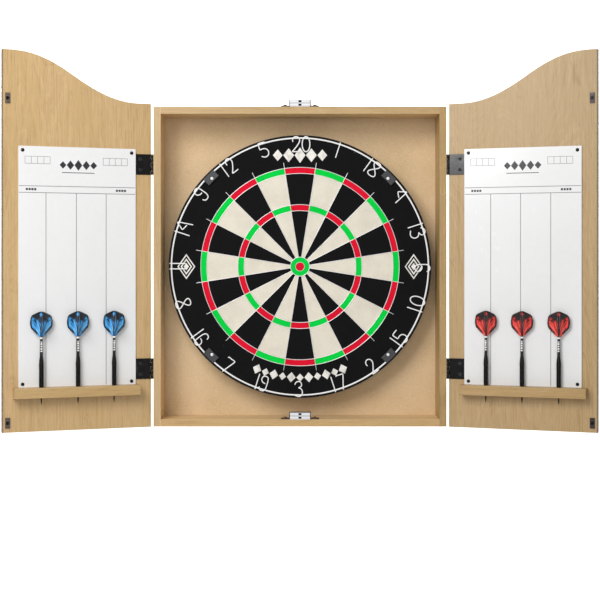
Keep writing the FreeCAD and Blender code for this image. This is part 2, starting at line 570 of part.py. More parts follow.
root = clip_outline(0, FOLD + FLIGHT_T / 2)
root.rotate(V(0, 0, 0), V(0, 0, 1), -90)
fold = clip_outline(FOLD - FLIGHT_T / 2, FH)
fold.translate(V(-FOLD, -FOLD, 0))
flight0 = fuse(blades + [root, fold])
shaft0 = solids(shaft0.cut(flight0))

darts = []
for w in DART_W:
    off = local(w, DART_O, 0)
    d = {}
    for name, s in (("barrel", group([barrel0, point0])), ("shaft", shaft0), ("flight", flight0)):
        s = s.copy()
        s.translate(off)
        d[name] = s
    darts.append(d)


def swing(shape):
    s = shape.copy()
    s.rotate(V(-AX, AY, 0), V(0, 0, 1), -DOOR_OPEN_DEG)
    return s


for side in ("left", "right"):
    def place(s):
        s = swing(s)
        return s if side == "left" else mirrored(s)
    for k, s in door.items():
        NODES[side + "_" + k] = place(s)
    for i, d in enumerate(darts):
        for k, s in d.items():
            NODES["%s_dart_%d_%s" % (side, i + 1, k)] = place(s)

# -------------------------------------------------------------------- write
for name, shape in sorted(NODES.items()):
    if not shape.isValid():
        print("INVALID", name)
    shape.exportStep("parts/%s.step" % name)
total = Part.makeCompound(list(NODES.values()))
bb = total.BoundBox
print(len(NODES), "nodes", sum(len(s.Solids) for s in NODES.values()), "solids")
print("box", [round(v, 2) for v in (bb.XMin, bb.YMin, bb.ZMin, bb.XMax, bb.YMax, bb.ZMax)])
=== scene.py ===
import json
import math
import random

import bpy
from mathutils import Matrix, Vector


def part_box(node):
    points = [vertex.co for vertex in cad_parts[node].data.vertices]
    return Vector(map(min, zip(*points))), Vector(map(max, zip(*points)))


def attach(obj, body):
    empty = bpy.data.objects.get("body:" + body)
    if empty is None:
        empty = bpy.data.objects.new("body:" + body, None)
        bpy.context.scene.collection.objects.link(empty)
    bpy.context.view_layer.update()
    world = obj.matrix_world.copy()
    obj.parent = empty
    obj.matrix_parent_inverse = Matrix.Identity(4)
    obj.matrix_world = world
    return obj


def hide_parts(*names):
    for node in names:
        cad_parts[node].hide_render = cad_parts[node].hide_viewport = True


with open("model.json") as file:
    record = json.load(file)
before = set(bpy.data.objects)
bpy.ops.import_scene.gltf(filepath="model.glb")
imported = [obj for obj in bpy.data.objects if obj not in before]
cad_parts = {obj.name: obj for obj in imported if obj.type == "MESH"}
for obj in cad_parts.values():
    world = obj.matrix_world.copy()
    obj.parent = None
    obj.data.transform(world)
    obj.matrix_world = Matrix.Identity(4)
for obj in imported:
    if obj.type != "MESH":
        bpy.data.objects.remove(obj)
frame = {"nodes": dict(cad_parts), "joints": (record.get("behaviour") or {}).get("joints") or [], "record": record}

random.seed(7)
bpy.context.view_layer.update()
NODES = frame["nodes"]
RECORD = frame["record"]
SLOT_OF = {s["node"]: s["material_slot"] for s in RECORD["subparts"]}
MM = 0.001

# ---------------------------------------------------------------- key places
JOINTS = {j["name"]: j for j in frame["joints"]}
PIN_X = JOINTS["right_door_hinge"]["pos_m"][0]
PIN_Y = JOINTS["right_door_hinge"]["pos_m"][1]
OPEN = math.radians(160.0)
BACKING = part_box("board_backing")
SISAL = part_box("sisal_bed")
FACE_Y = SISAL[0].y                       # playing face
SISAL_BACK = SISAL[1].y
CORE_R = (SISAL[1].x - SISAL[0].x) / 2
R_DOUBLE_OUT, R_DOUBLE_IN = 0.1716, 0.1610
R_TREBLE_OUT, R_TREBLE_IN = 0.1072, 0.0966
R_BULL_OUT, R_BULL_IN = 0.0165, 0.0076
NUMBERS = (20, 1, 18, 4, 13, 6, 10, 15, 2, 17, 3, 19, 7, 16, 8, 11, 14, 9, 12, 5)
BOTTOM_OUTWARD = (10, 15, 2, 17, 3, 19, 7, 16, 8)


def door_matrix(side):
    """Door coordinates to the row frame: x along the door from the pin, y out of its inner face, z up."""
    sx = -1.0 if side == "left" else 1.0
    along = Vector((sx * -math.cos(OPEN), -math.sin(OPEN), 0))     # from the pin to the free edge
    out = Vector((-sx * math.sin(OPEN), math.cos(OPEN), 0))
    m = Matrix.Identity(4)
    for r in range(3):
        m[r][0], m[r][1], m[r][2] = along[r], out[r], (0, 0, 1)[r]
    m[0][3], m[1][3] = sx * PIN_X, PIN_Y
    return m


INNER = -2.6 * MM                          # inner face of a door, from its pin

# ------------------------------------------------------------ node materials


class Tree:
    """Short calls for building a node tree."""

    def __init__(self, name):
        self.mat = bpy.data.materials.new(name)
        self.mat.use_nodes = True
        self.nt = self.mat.node_tree
        self.nt.nodes.clear()
        self.out = self.nt.nodes.new("ShaderNodeOutputMaterial")
        self.bsdf = self.nt.nodes.new("ShaderNodeBsdfPrincipled")
        self.nt.links.new(self.bsdf.outputs[0], self.out.inputs[0])
        self.coords = self.nt.nodes.new("ShaderNodeTexCoord").outputs["Object"]

    def set(self, **values):
        for k, v in values.items():
            self.bsdf.inputs[k.replace("_", " ")].default_value = v
        return self

    def link(self, a, b):
        self.nt.links.new(a, b)

    def node(self, kind, **props):
        n = self.nt.nodes.new(kind)
        for k, v in props.items():
            setattr(n, k, v)
        return n

    def mapped(self, scale=(1, 1, 1), rotate=(0, 0, 0), move=(0, 0, 0), source=None):
        v = source or self.coords
        if any(rotate) or any(move):
            a = self.node("ShaderNodeMapping")
            a.inputs["Rotation"].default_value = rotate
            a.inputs["Location"].default_value = move
            self.link(v, a.inputs["Vector"])
            v = a.outputs[0]
        b = self.node("ShaderNodeMapping")
        b.inputs["Scale"].default_value = scale
        self.link(v, b.inputs["Vector"])
        return b.outputs[0]

    def noise(self, vector, scale=1.0, detail=2.0, rough=0.5, distort=0.0):
        n = self.node("ShaderNodeTexNoise")
        n.inputs["Scale"].default_value = scale
        n.inputs["Detail"].default_value = detail
        n.inputs["Roughness"].default_value = rough
        n.inputs["Distortion"].default_value = distort
        self.link(vector, n.inputs["Vector"])
        return n.outputs["Fac"]

    def voronoi(self, vector, scale=1.0, feature="F1", random_=1.0):
        n = self.node("ShaderNodeTexVoronoi", feature=feature)
        n.inputs["Scale"].default_value = scale
        n.inputs["Randomness"].default_value = random_
        self.link(vector, n.inputs["Vector"])
        return n

    def ramp(self, value, stops, interp="LINEAR"):
        n = self.node("ShaderNodeValToRGB")
        n.color_ramp.interpolation = interp
        els = n.color_ramp.elements
        while len(els) < len(stops):
            els.new(0.5)
        for e, (p, c) in zip(els, stops):
            e.position = p
            e.color = tuple(c) + (1.0,) if len(c) == 3 else c
        self.link(value, n.inputs[0])
        return n.outputs[0]

    def remap(self, value, a, b, c, d, clamp=True):
        n = self.node("ShaderNodeMapRange", clamp=clamp)
        for k, v in zip(("From Min", "From Max", "To Min", "To Max"), (a, b, c, d)):
            n.inputs[k].default_value = v
        self.link(value, n.inputs["Value"])
        return n.outputs[0]

    def math(self, op, a, b=None, clamp=False):
        n = self.node("ShaderNodeMath", operation=op, use_clamp=clamp)
        for i, v in enumerate((a, b)):
            if v is None:
                continue
            if isinstance(v, (int, float)):
                n.inputs[i].default_value = v
            else:
                self.link(v, n.inputs[i])
        return n.outputs[0]

    def mix(self, kind, fac, a, b):
        n = self.node("ShaderNodeMix", data_type="RGBA", blend_type=kind)
        for i, v in ((0, fac), (6, a), (7, b)):
            if isinstance(v, (int, float)):
                n.inputs[i].default_value = v
            elif isinstance(v, (tuple, list)):
                n.inputs[i].default_value = tuple(v) + (1.0,) if len(v) == 3 else tuple(v)
            else:
                self.link(v, n.inputs[i])
        return n.outputs[2]

    def split(self, vector):
        n = self.node("ShaderNodeSeparateXYZ")
        self.link(vector, n.inputs[0])
        return n.outputs

    def colour(self, socket):
        self.link(socket, self.bsdf.inputs["Base Color"])

    def rough(self, socket):
        self.link(socket, self.bsdf.inputs["Roughness"])

    def bump(self, height, strength=0.3, distance=0.0002, under=None):
        n = self.node("ShaderNodeBump")
        n.inputs["Strength"].default_value = strength
        n.inputs["Distance"].default_value = distance
        self.link(height, n.inputs["Height"])
        if under is not None:
            self.link(under, n.inputs["Normal"])
        self.link(n.outputs[0], self.bsdf.inputs["Normal"])
        return n.outputs[0]


def hexlin(h):
    """sRGB hex to linear."""
    c = [int(h[i:i + 2], 16) / 255 for i in (0, 2, 4)]
    return tuple(v / 12.92 if v <= 0.04045 else ((v + 0.055) / 1.055) ** 2.4 for v in c)


def wood(name, order="xyz", turn=0.0, origin=(0, 0, 0), tone=1.0, warm=0.0, seed=0.0, edge=None, inside=None):
    """Oak-look foil: fine fibre, short pores, and a faint arched figure in leaves across the board.

    order names the row-frame axes that run across, through and along the grain, after a turn about Z.
    """
    t = Tree(name)
    v = t.mapped((1, 1, 1), (0, 0, turn), origin) if turn else t.mapped((1, 1, 1))
    xyz = dict(zip("xyz", t.split(v)))
    u, q, s = (xyz[c] for c in order)
    comb = t.node("ShaderNodeCombineXYZ")
    for k, c in enumerate((u, q, s)):
        t.link(t.math("ADD", c, seed * (0.37, 0.21, 0.11)[k]), comb.inputs[k])
    g = comb.outputs[0]
    # arched figure: growth rings cut nearly flat, one arch to each leaf of the veneer
    wander = t.noise(t.mapped((7, 7, 2.2), source=g), 1.0, 2.0, 0.5)
    leaf = t.math("SINE", t.math("MULTIPLY", t.math("ADD", t.split(g)[0], t.math("MULTIPLY", wander, 0.035)), math.pi / 0.118))
    across = t.math("MULTIPLY", leaf, 0.118 / math.pi * 3.4)
    jag = t.noise(t.mapped((60, 60, 26), source=g), 1.0, 2.0, 0.5)
    depth = t.math("ADD", t.math("MULTIPLY", t.split(g)[2], 0.21), t.math("MULTIPLY", wander, 0.11))
    depth = t.math("ADD", t.math("ADD", depth, 0.03), t.math("MULTIPLY", jag, 0.008))
    ring = t.math("SQRT", t.math("ADD", t.math("MULTIPLY", across, across), t.math("MULTIPLY", depth, depth)))
    rv = t.node("ShaderNodeCombineXYZ")
    t.link(t.math("MULTIPLY", ring, 330.0), rv.inputs[0])
    t.link(t.math("MULTIPLY", t.split(g)[2], 5.0), rv.inputs[2])
    rings = t.noise(rv.outputs[0], 1.0, 2.0, 0.55)
    streak = t.noise(t.mapped((210, 210, 7), source=g), 1.0, 3.0, 0.6, 0.3)
    cloud = t.noise(t.mapped((11, 11, 1.7), source=g), 1.0, 3.0, 0.5, 0.2)
    fibre = t.noise(t.mapped((640, 640, 15), source=g), 1.0, 4.0, 0.65)
    mixed = t.math("ADD", t.math("MULTIPLY", rings, 0.55), t.math("MULTIPLY", streak, 0.45))
    base, light, deep, pink = (0.583, 0.399, 0.195), (0.645, 0.463, 0.248), (0.470, 0.302, 0.128), (0.620, 0.424, 0.236)
    col = t.ramp(mixed, [(0.34, deep), (0.46, base), (0.54, base), (0.64, light)])
    col = t.mix("MIX", t.remap(cloud, 0.45, 0.68, 0.0, 0.55), col, pink)
    col = t.mix("MULTIPLY", 1.0, col, t.ramp(cloud, [(0.30, (0.93, 0.925, 0.90)), (0.50, (1, 1, 1))]))
    col = t.mix("MULTIPLY", 1.0, col, t.ramp(fibre, [(0.34, (0.88, 0.86, 0.82)), (0.52, (1, 1, 1)), (0.72, (1.05, 1.05, 1.06))]))
    pore = t.noise(t.mapped((1250, 1250, 58), source=g), 1.0, 1.0, 0.4)
    gate = t.math("MULTIPLY", t.remap(pore, 0.60, 0.70, 0.0, 1.0), t.remap(rings, 0.42, 0.60, 0.25, 1.0))
    col = t.mix("MIX", t.math("MULTIPLY", gate, 0.42), col, tuple(c * 0.5 for c in deep))
    # painted light: tone and warm make each piece of the one oak foil lighter or darker for how the light falls on it
    col = t.mix("MULTIPLY", 1.0, col, (tone, tone * (1 - 0.012 * warm), tone * (1 - 0.05 * warm)))
    if inside:                                   # lighting compensation, not a finish: a gain fitted to one view under these lights
        at, gain, cool = inside
        side = t.math("GREATER_THAN" if at < 0 else "LESS_THAN", u, at)
        col = t.mix("MULTIPLY", side, col, (gain, gain * (0.75 + 0.25 * cool), gain * cool))
    if edge:                                     # the door's free edge face darkened to 0.42 of its colour
        col = t.mix("MULTIPLY", 1.0, col, t.ramp(t.remap(u, edge - 0.0004, edge + 0.0004, 0.0, 1.0), [(0.0, (1, 1, 1)), (1.0, (0.42, 0.42, 0.44))]))
    t.colour(col)
    t.rough(t.remap(fibre, 0.3, 0.7, 0.38, 0.50))
    relief = t.math("SUBTRACT", t.math("MULTIPLY", fibre, 0.6), t.math("MULTIPLY", gate, 0.7))
    t.bump(relief, 0.18, 0.0001)
    t.set(Specular_IOR_Level=0.45, Coat_Weight=0.10, Coat_Roughness=0.32)
    return t.mat


def plain(name, base, rough, metal=0.0, scale=260.0, colour_amount=0.12, rough_amount=0.12, bump=0.12,
          stretch=(1, 1, 1), rotate=(0, 0, 0), second=None, bump_distance=0.00006, ends=None, **consts):
    """Metals, plastics and paint: two layers of noise over colour, roughness and relief."""
    t = Tree(name)
    v = t.mapped(stretch, rotate)
    fine = t.noise(v, scale, 4.0, 0.6)
    cloud = t.noise(v, scale * 0.09, 3.0, 0.55)
    second = second or tuple(min(1.0, c * (1 - 2.2 * colour_amount)) for c in base)
    both = t.math("ADD", t.math("MULTIPLY", fine, 0.45), t.math("MULTIPLY", cloud, 0.55))
    shade = t.ramp(both, [(0.32, second), (0.52, base), (0.7, tuple(min(1.0, c * (1 + colour_amount)) for c in base))])
    if ends:                                     # painted shade: the front darkened beyond ±ends, for the shaded gap at each end of the catch
        end_shade = t.math("GREATER_THAN", t.math("ABSOLUTE", t.split(t.mapped((1, 1, 1)))[0]), ends)
        shade = t.mix("MIX", end_shade, shade, (0.030, 0.028, 0.034))
    t.colour(shade)
    t.rough(t.remap(both, 0.3, 0.7, max(0.02, rough - rough_amount), min(1.0, rough + rough_amount)))
    t.bump(fine, bump, bump_distance)
    t.set(Metallic=metal)
    t.set(**consts)
    return t.mat


def sisal(name, base, pale, dark):
    """End grain of compressed sisal, dyed: fine fibre ends, coarser bundles."""
    t = Tree(name)
    v = t.coords
    ends = t.noise(t.mapped((1, 1, 1)), 1500, 3.0, 0.7)
    tufts = t.voronoi(t.mapped((1, 1, 1)), 620)
    cloud = t.noise(v, 38, 4.0, 0.6)
    mixv = t.math("ADD", t.math("MULTIPLY", ends, 0.6), t.math("MULTIPLY", tufts.outputs["Distance"], 0.45))
    col = t.ramp(mixv, [(0.25, dark), (0.5, base), (0.75, base), (0.92, pale)])
    col = t.mix("MULTIPLY", 1.0, col, t.ramp(cloud, [(0.3, (0.90, 0.90, 0.90)), (0.6, (1, 1, 1)), (0.8, (1.0, 1.0, 1.0))]))
    t.colour(col)
    t.rough(t.remap(ends, 0.3, 0.7, 0.78, 0.95))
    t.bump(t.math("SUBTRACT", ends, t.math("MULTIPLY", tufts.outputs["Distance"], 0.4)), 0.35, 0.00025)
    t.set(Specular_IOR_Level=0.08)
    return t.mat


def fibreboard(name, base, dark, pale):
    """Raw brown fibreboard with chopped fibre specks."""
    t = Tree(name)
    cloud = t.noise(t.mapped((1, 1, 1)), 9, 4.0, 0.6)
    felt = t.noise(t.mapped((1, 0.2, 1)), 420, 5.0, 0.7, 0.8)
    col = t.ramp(t.math("ADD", t.math("MULTIPLY", cloud, 0.5), t.math("MULTIPLY", felt, 0.5)),
                 [(0.33, dark), (0.5, base), (0.68, pale)])
    strands = t.noise(t.mapped((1.0, 1.0, 0.35), (0, 0.6, 0)), 900, 2.0, 0.5)
    strands2 = t.noise(t.mapped((0.35, 1.0, 1.0), (0, 0.25, 0), (3, 1, 2)), 760, 2.0, 0.5)
    dots = t.math("MAXIMUM", t.remap(strands, 0.64, 0.74, 0.0, 1.0), t.remap(strands2, 0.66, 0.76, 0.0, 0.8))
    col = t.mix("MIX", t.math("MULTIPLY", dots, 0.4), col, tuple(c * 0.5 for c in dark))
    chips = t.noise(t.mapped((1, 1, 0.5), (0, -0.5, 0), (9, 4, 2)), 640, 1.0, 0.4)
    col = t.mix("MIX", t.remap(chips, 0.66, 0.76, 0.0, 0.35), col, tuple(min(1, c * 1.35) for c in pale))
    t.colour(col)
    t.rough(t.remap(felt, 0.3, 0.7, 0.68, 0.85))
    t.bump(felt, 0.22, 0.0002)
    t.set(Specular_IOR_Level=0.28)
    return t.mat


def film(name, black, deep, mid, bright, pale):
    """Printed flight film: two fans of bright streaks rising from the stem on near-black."""
    t = Tree(name)
    x, y, z = t.split(t.mapped((1000, 1000, 1000)))
    r = t.math("ADD", t.math("ABSOLUTE", x), t.math("ABSOLUTE", y))
    d = t.math("SQRT", t.math("ADD", t.math("MULTIPLY", r, r), t.math("MULTIPLY", z, z)))
    deg = t.math("MULTIPLY", t.math("ARCTAN2", r, t.math("ADD", z, 0.6)), 57.2958)
    half = t.math("GREATER_THAN", x, 0.0)

    def field(fa, fd, shift, detail):
        c = t.node("ShaderNodeCombineXYZ")
        t.link(t.math("MULTIPLY", deg, fa), c.inputs[0])
        t.link(t.math("MULTIPLY", d, fd), c.inputs[1])
        t.link(t.math("ADD", t.math("MULTIPLY", half, 0.9), shift), c.inputs[2])
        return t.noise(c.outputs[0], 1.0, detail, 0.55, 0.3)

    streak = field(0.15, 0.050, 0.0, 2.0)
    fine = field(0.36, 0.070, 5.0, 2.0)
    inner = t.math("SUBTRACT", 1.0, t.math("DIVIDE", t.math("ABSOLUTE", t.math("SUBTRACT", deg, 13.5)), 10.5))
    outer = t.math("SUBTRACT", 1.15, t.math("DIVIDE", t.math("ABSOLUTE", t.math("SUBTRACT", deg, 31.5)), 10.5))
    fan = t.math("ADD", t.math("MAXIMUM", inner, outer), t.math("MULTIPLY", t.math("SUBTRACT", streak, 0.5), 2.4))
    fan = t.math("ADD", fan, t.math("MULTIPLY", t.math("SUBTRACT", fine, 0.5), 1.5))
    reach = t.math("ADD", d, t.math("MULTIPLY", t.math("SUBTRACT", streak, 0.5), 26.0))
    reach = t.math("ADD", reach, t.math("MULTIPLY", deg, -0.16))
    fan = t.math("MULTIPLY", fan, t.remap(reach, 22.0, 28.0, 1.0, 0.0))
    tip = t.remap(d, 4.0, 12.0, 0.75, 0.0)
    lozenge = t.math("SUBTRACT", 1.0, t.math("ADD", t.math("DIVIDE", t.math("ABSOLUTE", t.math("SUBTRACT", z, 37.0)), 6.5), t.math("DIVIDE", r, 4.4)))
    patch = t.math("SUBTRACT", 0.62, t.math("ADD", t.math("DIVIDE", t.math("ABSOLUTE", t.math("SUBTRACT", deg, 25.0)), 16.0), t.math("DIVIDE", t.math("ABSOLUTE", t.math("SUBTRACT", d, 32.5)), 9.0)))
    patch = t.math("ADD", patch, t.math("MULTIPLY", t.math("SUBTRACT", fine, 0.5), 0.5))
    rim = t.remap(t.math("ADD", r, t.math("MULTIPLY", t.math("SUBTRACT", z, 18.0), -0.10)), 14.6, 16.8, 1.0, 0.0)
    tone = t.math("MAXIMUM", t.math("MULTIPLY", t.math("MAXIMUM", fan, tip), rim), t.math("MAXIMUM", t.math("MULTIPLY", lozenge, 1.1), patch))
    t.colour(t.ramp(tone, [(0.05, black), (0.18, deep), (0.34, mid), (0.52, bright), (0.72, bright), (0.98, pale)]))
    t.rough(t.remap(fine, 0.3, 0.7, 0.12, 0.24))
    t.bump(streak, 0.08, 0.00015)
    t.set(Specular_IOR_Level=0.6, Coat_Weight=0.4, Coat_Roughness=0.08)
    return t.mat


DOOR = dict(origin=(-0.2633, 0, 0))
TURN_L, TURN_R = math.radians(160), math.radians(20)
MATS = {
    # painted light: the tone and warm of each piece follow the light, left-hand pieces lighter and right-hand ones
    # darker; the panels share one foil
    "left_side": wood("left_side_veneer", tone=0.87, warm=0.3, seed=1.3, inside=(-0.2384, 1.72, 1.03)),
    "right_side": wood("right_side_veneer", tone=0.74, warm=4.3, seed=3.3, inside=(0.2384, 0.95, 0.92)),
    "frame_top": wood("top_veneer", "zyx", tone=0.84, warm=1.8, seed=4.1, inside=(0.2614, 1.42, 0.99)),
    "frame_bottom": wood("bottom_veneer", "zyx", tone=0.90, warm=3.8, seed=5.7, inside=(-0.2614, 1.36, 1.27)),
    "left_door": wood("left_door_veneer", turn=TURN_L, tone=0.925, warm=1.4, seed=2.2, edge=0.2498, **DOOR),
    "right_door": wood("right_door_veneer", turn=TURN_R, tone=0.765, warm=0.9, seed=8.3, edge=0.2498, **DOOR),
    "left_rail": wood("left_rail_wood", "zyx", turn=TURN_L, tone=0.87, warm=2.8, seed=3.4, **DOOR),
    "right_rail": wood("right_rail_wood", "zyx", turn=TURN_R, tone=0.74, warm=4.0, seed=5.6, **DOOR),
    "mdf_back": fibreboard("brown_fibreboard", (0.660, 0.482, 0.288), (0.57, 0.405, 0.220), (0.73, 0.550, 0.345)),
    "chipboard": fibreboard("backing_board", hexlin("A98E68"), hexlin("8E7350"), hexlin("B9A07A")),
    "black_steel": plain("black_plated_steel", (0.0055, 0.0053, 0.0055), 0.20, 0.0, 700, 0.3, 0.05, 0.05, second=(0.003, 0.003, 0.003), Specular_IOR_Level=0.34),
    "hinge_screw": plain("dull_screw_black", (0.030, 0.030, 0.031), 0.45, 0.0, 700, 0.2, 0.08, 0.06, second=(0.020, 0.020, 0.021), Specular_IOR_Level=0.2),
    "zinc_steel": plain("zinc_plate", (0.72, 0.73, 0.74), 0.30, 0.9, 420, 0.08, 0.10, 0.08, (1, 1, 0.15)),
    # painted shade: both strike plates are the same zinc-plated steel, coloured dark brown, the right one darker than
    # the left
    "strike_left": plain("left_strike_lit_steel", (0.125, 0.100, 0.080), 0.38, 0.35, 500, 0.14, 0.12, 0.12, (1, 1, 0.2)),
    "strike_right": plain("right_strike_shaded_steel", (0.050, 0.034, 0.033), 0.38, 0.25, 500, 0.14, 0.12, 0.12, (1, 1, 0.2)),
    "magnet_block": plain("ferrite", (0.03, 0.03, 0.032), 0.6, 0.0, 900, 0.25, 0.1, 0.2),
    # painted shade: ends darkens both ends of the catch front and the pole plates, catch_shell colours the catch's
    # other faces dark brown, catch_well colours its wells near black
    "catch_front": plain("pale_catch_plastic", (0.56, 0.57, 0.59), 0.34, 0.0, 380, 0.03, 0.07, 0.05, ends=0.0171, Specular_IOR_Level=0.4),
    "catch_shell": plain("catch_shell_painted_shade", (0.040, 0.028, 0.018), 0.42, 0.0, 420, 0.15, 0.1, 0.08, Specular_IOR_Level=0.45),
    "catch_well": plain("catch_recess_painted_shade", (0.004, 0.004, 0.004), 0.7, 0.0, 420, 0.2, 0.1, 0.08, Specular_IOR_Level=0.1),
    "pole_nickel": plain("nickel_pole_plate", (0.74, 0.75, 0.77), 0.40, 0.05, 420, 0.03, 0.08, 0.05, (0.2, 1, 1), ends=0.0171),
    "bronze_screw": plain("bronzed_screw", (0.20, 0.085, 0.030), 0.34, 0.7, 600, 0.2, 0.1, 0.08),
    "score_panel": plain("white_laminate", (0.775, 0.775, 0.778), 0.24, 0.0, 90, 0.010, 0.05, 0.02, Specular_IOR_Level=0.45, Coat_Weight=0.25, Coat_Roughness=0.14),
    "band_steel": plain("black_band_paint", (0.006, 0.006, 0.0065), 0.42, 0.0, 600, 0.3, 0.1, 0.1, second=(0.004, 0.004, 0.0045), Specular_IOR_Level=0.35),
    "spider_wire": plain("galvanised_wire", (0.86, 0.85, 0.85), 0.33, 0.55, 800, 0.06, 0.10, 0.08),
    "ring_wire": plain("white_wire_coat", (0.86, 0.86, 0.86), 0.30, 0.0, 700, 0.03, 0.08, 0.05, Specular_IOR_Level=0.5, Coat_Weight=0.2, Coat_Roughness=0.15),
    "clip_steel": plain("grey_clip_paint", (0.026, 0.028, 0.031), 0.36, 0.1, 700, 0.2, 0.1, 0.12, Specular_IOR_Level=0.55),
    "bright_screw": plain("bright_plate", (0.85, 0.85, 0.86), 0.2, 1.0, 500, 0.04, 0.06, 0.05),
    "clip_screw": plain("pale_screw_plate", (0.84, 0.84, 0.85), 0.38, 0.35, 500, 0.04, 0.08, 0.05),
    "rubber_black": plain("moulded_rubber", (0.02, 0.02, 0.02), 0.8, 0.0, 500, 0.2, 0.1, 0.25),
    "barrel_metal": plain("black_coated_barrel", (0.0045, 0.0045, 0.005), 0.26, 0.0, 900, 0.3, 0.08, 0.10, second=(0.002, 0.002, 0.002), Specular_IOR_Level=0.24),
    "stem_plastic": plain("black_stem_plastic", (0.005, 0.005, 0.006), 0.26, 0.0, 800, 0.3, 0.08, 0.06, second=(0.0035, 0.0035, 0.004), Specular_IOR_Level=0.5),
    "white_print": plain("white_print", (0.80, 0.79, 0.77), 0.5, 0.0, 600, 0.05, 0.1, 0.08),
    "board_print": plain("cream_screen_print", (0.77, 0.75, 0.70), 0.72, 0.0, 1300, 0.10, 0.1, 0.4, second=(0.45, 0.43, 0.40), bump_distance=0.0002),
    "grey_print": plain("grey_line_print", (0.22, 0.22, 0.23), 0.4, 0.0, 500, 0.05, 0.1, 0.04),
    "dark_print": plain("dark_print", (0.022, 0.022, 0.026), 0.35, 0.0, 600, 0.1, 0.1, 0.04, second=(0.016, 0.016, 0.02)),
    "flight_blue": film("blue_flight_film", (0.008, 0.012, 0.018), (0.012, 0.050, 0.11), (0.018, 0.165, 0.32), (0.050, 0.33, 0.76), (0.22, 0.60, 0.90)),
    "flight_red": film("red_flight_film", (0.014, 0.008, 0.008), (0.10, 0.008, 0.007), (0.28, 0.014, 0.012), (0.72, 0.042, 0.034), (0.86, 0.14, 0.11)),
    "black_sisal": sisal("black_sisal", (0.0065, 0.0066, 0.0072), (0.012, 0.012, 0.013), (0.004, 0.004, 0.0045)),
    "cream_sisal": sisal("cream_sisal", (0.730, 0.680, 0.575), (0.79, 0.75, 0.66), (0.63, 0.57, 0.46)),
    "red_sisal": sisal("red_sisal", (0.700, 0.0075, 0.030), (0.78, 0.022, 0.05), (0.56, 0.004, 0.018)),
    "green_sisal": sisal("green_sisal", (0.0020, 0.610, 0.060), (0.010, 0.70, 0.10), (0.001, 0.47, 0.035)),
}


def dress(ob, mat):
    ob.data.materials.clear()
    ob.data.materials.append(MATS[mat])
    for p in ob.data.polygons:
        p.material_index = 0


NODE_MAT = {
    "top_panel": "frame_top", "bottom_panel": "frame_bottom", "left_side_panel": "left_side", "right_side_panel": "right_side",
    "left_strike_plates": "strike_left", "right_strike_plates": "strike_right", "catch_housings": "catch_front",
    "cabinet_hinge_screws": "hinge_screw", "left_door_hinge_screws": "hinge_screw", "right_door_hinge_screws": "hinge_screw",
    "catch_pole_plates": "pole_nickel", "catch_screws": "bronze_screw", "clip_screws": "clip_screw",
    "left_door_panel": "left_door", "right_door_panel": "right_door", "left_dart_rail": "left_rail", "right_dart_rail": "right_rail",
}
for name, ob in NODES.items():
    key = NODE_MAT.get(name, SLOT_OF[name])
    if key == "sisal":
        key = "black_sisal"
    dress(ob, key)


def dress_catches():
    """Pale front of each catch, painted shade on its other faces and in its wells, face by face."""
    ob = NODES["catch_housings"]
    ob.data.materials.append(MATS["catch_shell"])
    ob.data.materials.append(MATS["catch_well"])
    front = min((ob.matrix_world @ v.co).y for v in ob.data.vertices)
    for p in ob.data.polygons:
        c = ob.matrix_world @ p.center
        flat = p.normal.y < -0.7
        if abs(c.x) < 0.0026 and c.y > front + 0.0002 and c.y < front + 0.0082:
            p.material_index = 2
        elif flat and c.y < front + 0.0006:
            p.material_index = 0
        # the top catch's ears keep the pale front; the bottom catch's ears take the painted shade
        elif flat and c.z > 0 and abs(c.x) > 0.019:
            p.material_index = 0
        else:
            p.material_index = 1


dress_catches()


def soften(name, width, segments=2, angle=32):
    """Rounds the sharp edges of a CAD node a little with modifiers, leaving its mesh alone."""
    ob = NODES[name]
    w = ob.modifiers.new("weld", "WELD")
    w.merge_threshold = 1e-6
    b = ob.modifiers.new("soft_edges", "BEVEL")
    b.width = width
    b.segments = segments
    b.limit_method = "ANGLE"
    b.angle_limit = math.radians(angle)
    b.use_clamp_overlap = True
    b.harden_normals = False


for n in ("top_panel", "bottom_panel", "left_side_panel", "right_side_panel"):
    soften(n, 0.0005)
for n in ("left_door_panel", "right_door_panel"):
    soften(n, 0.0008, 3)
for n in ("left_dart_rail", "right_dart_rail"):
    soften(n, 0.0005)
for n in ("left_scoreboard", "right_scoreboard"):
    soften(n, 0.0003)
for n in ("catch_housings", "corner_brackets", "ring_clips", "cabinet_hinge_leaves", "left_door_hinge_leaves", "right_door_hinge_leaves",
          "left_strike_plates", "right_strike_plates", "catch_pole_plates"):
    soften(n, 0.00018, 2)


# ----------------------------------------------------------------- meshes
def mesh_object(name, verts, faces, mats, index=None, smooth=False):
    me = bpy.data.meshes.new(name)
    me.from_pydata(verts, [], faces)
    for m in mats:
        me.materials.append(MATS[m])
    if index:
        me.polygons.foreach_set("material_index", index)
    if smooth:
        me.polygons.foreach_set("use_smooth", [True] * len(me.polygons))
    me.update()
    ob = bpy.data.objects.new(name, me)
    bpy.context.scene.collection.objects.link(ob)
    return ob


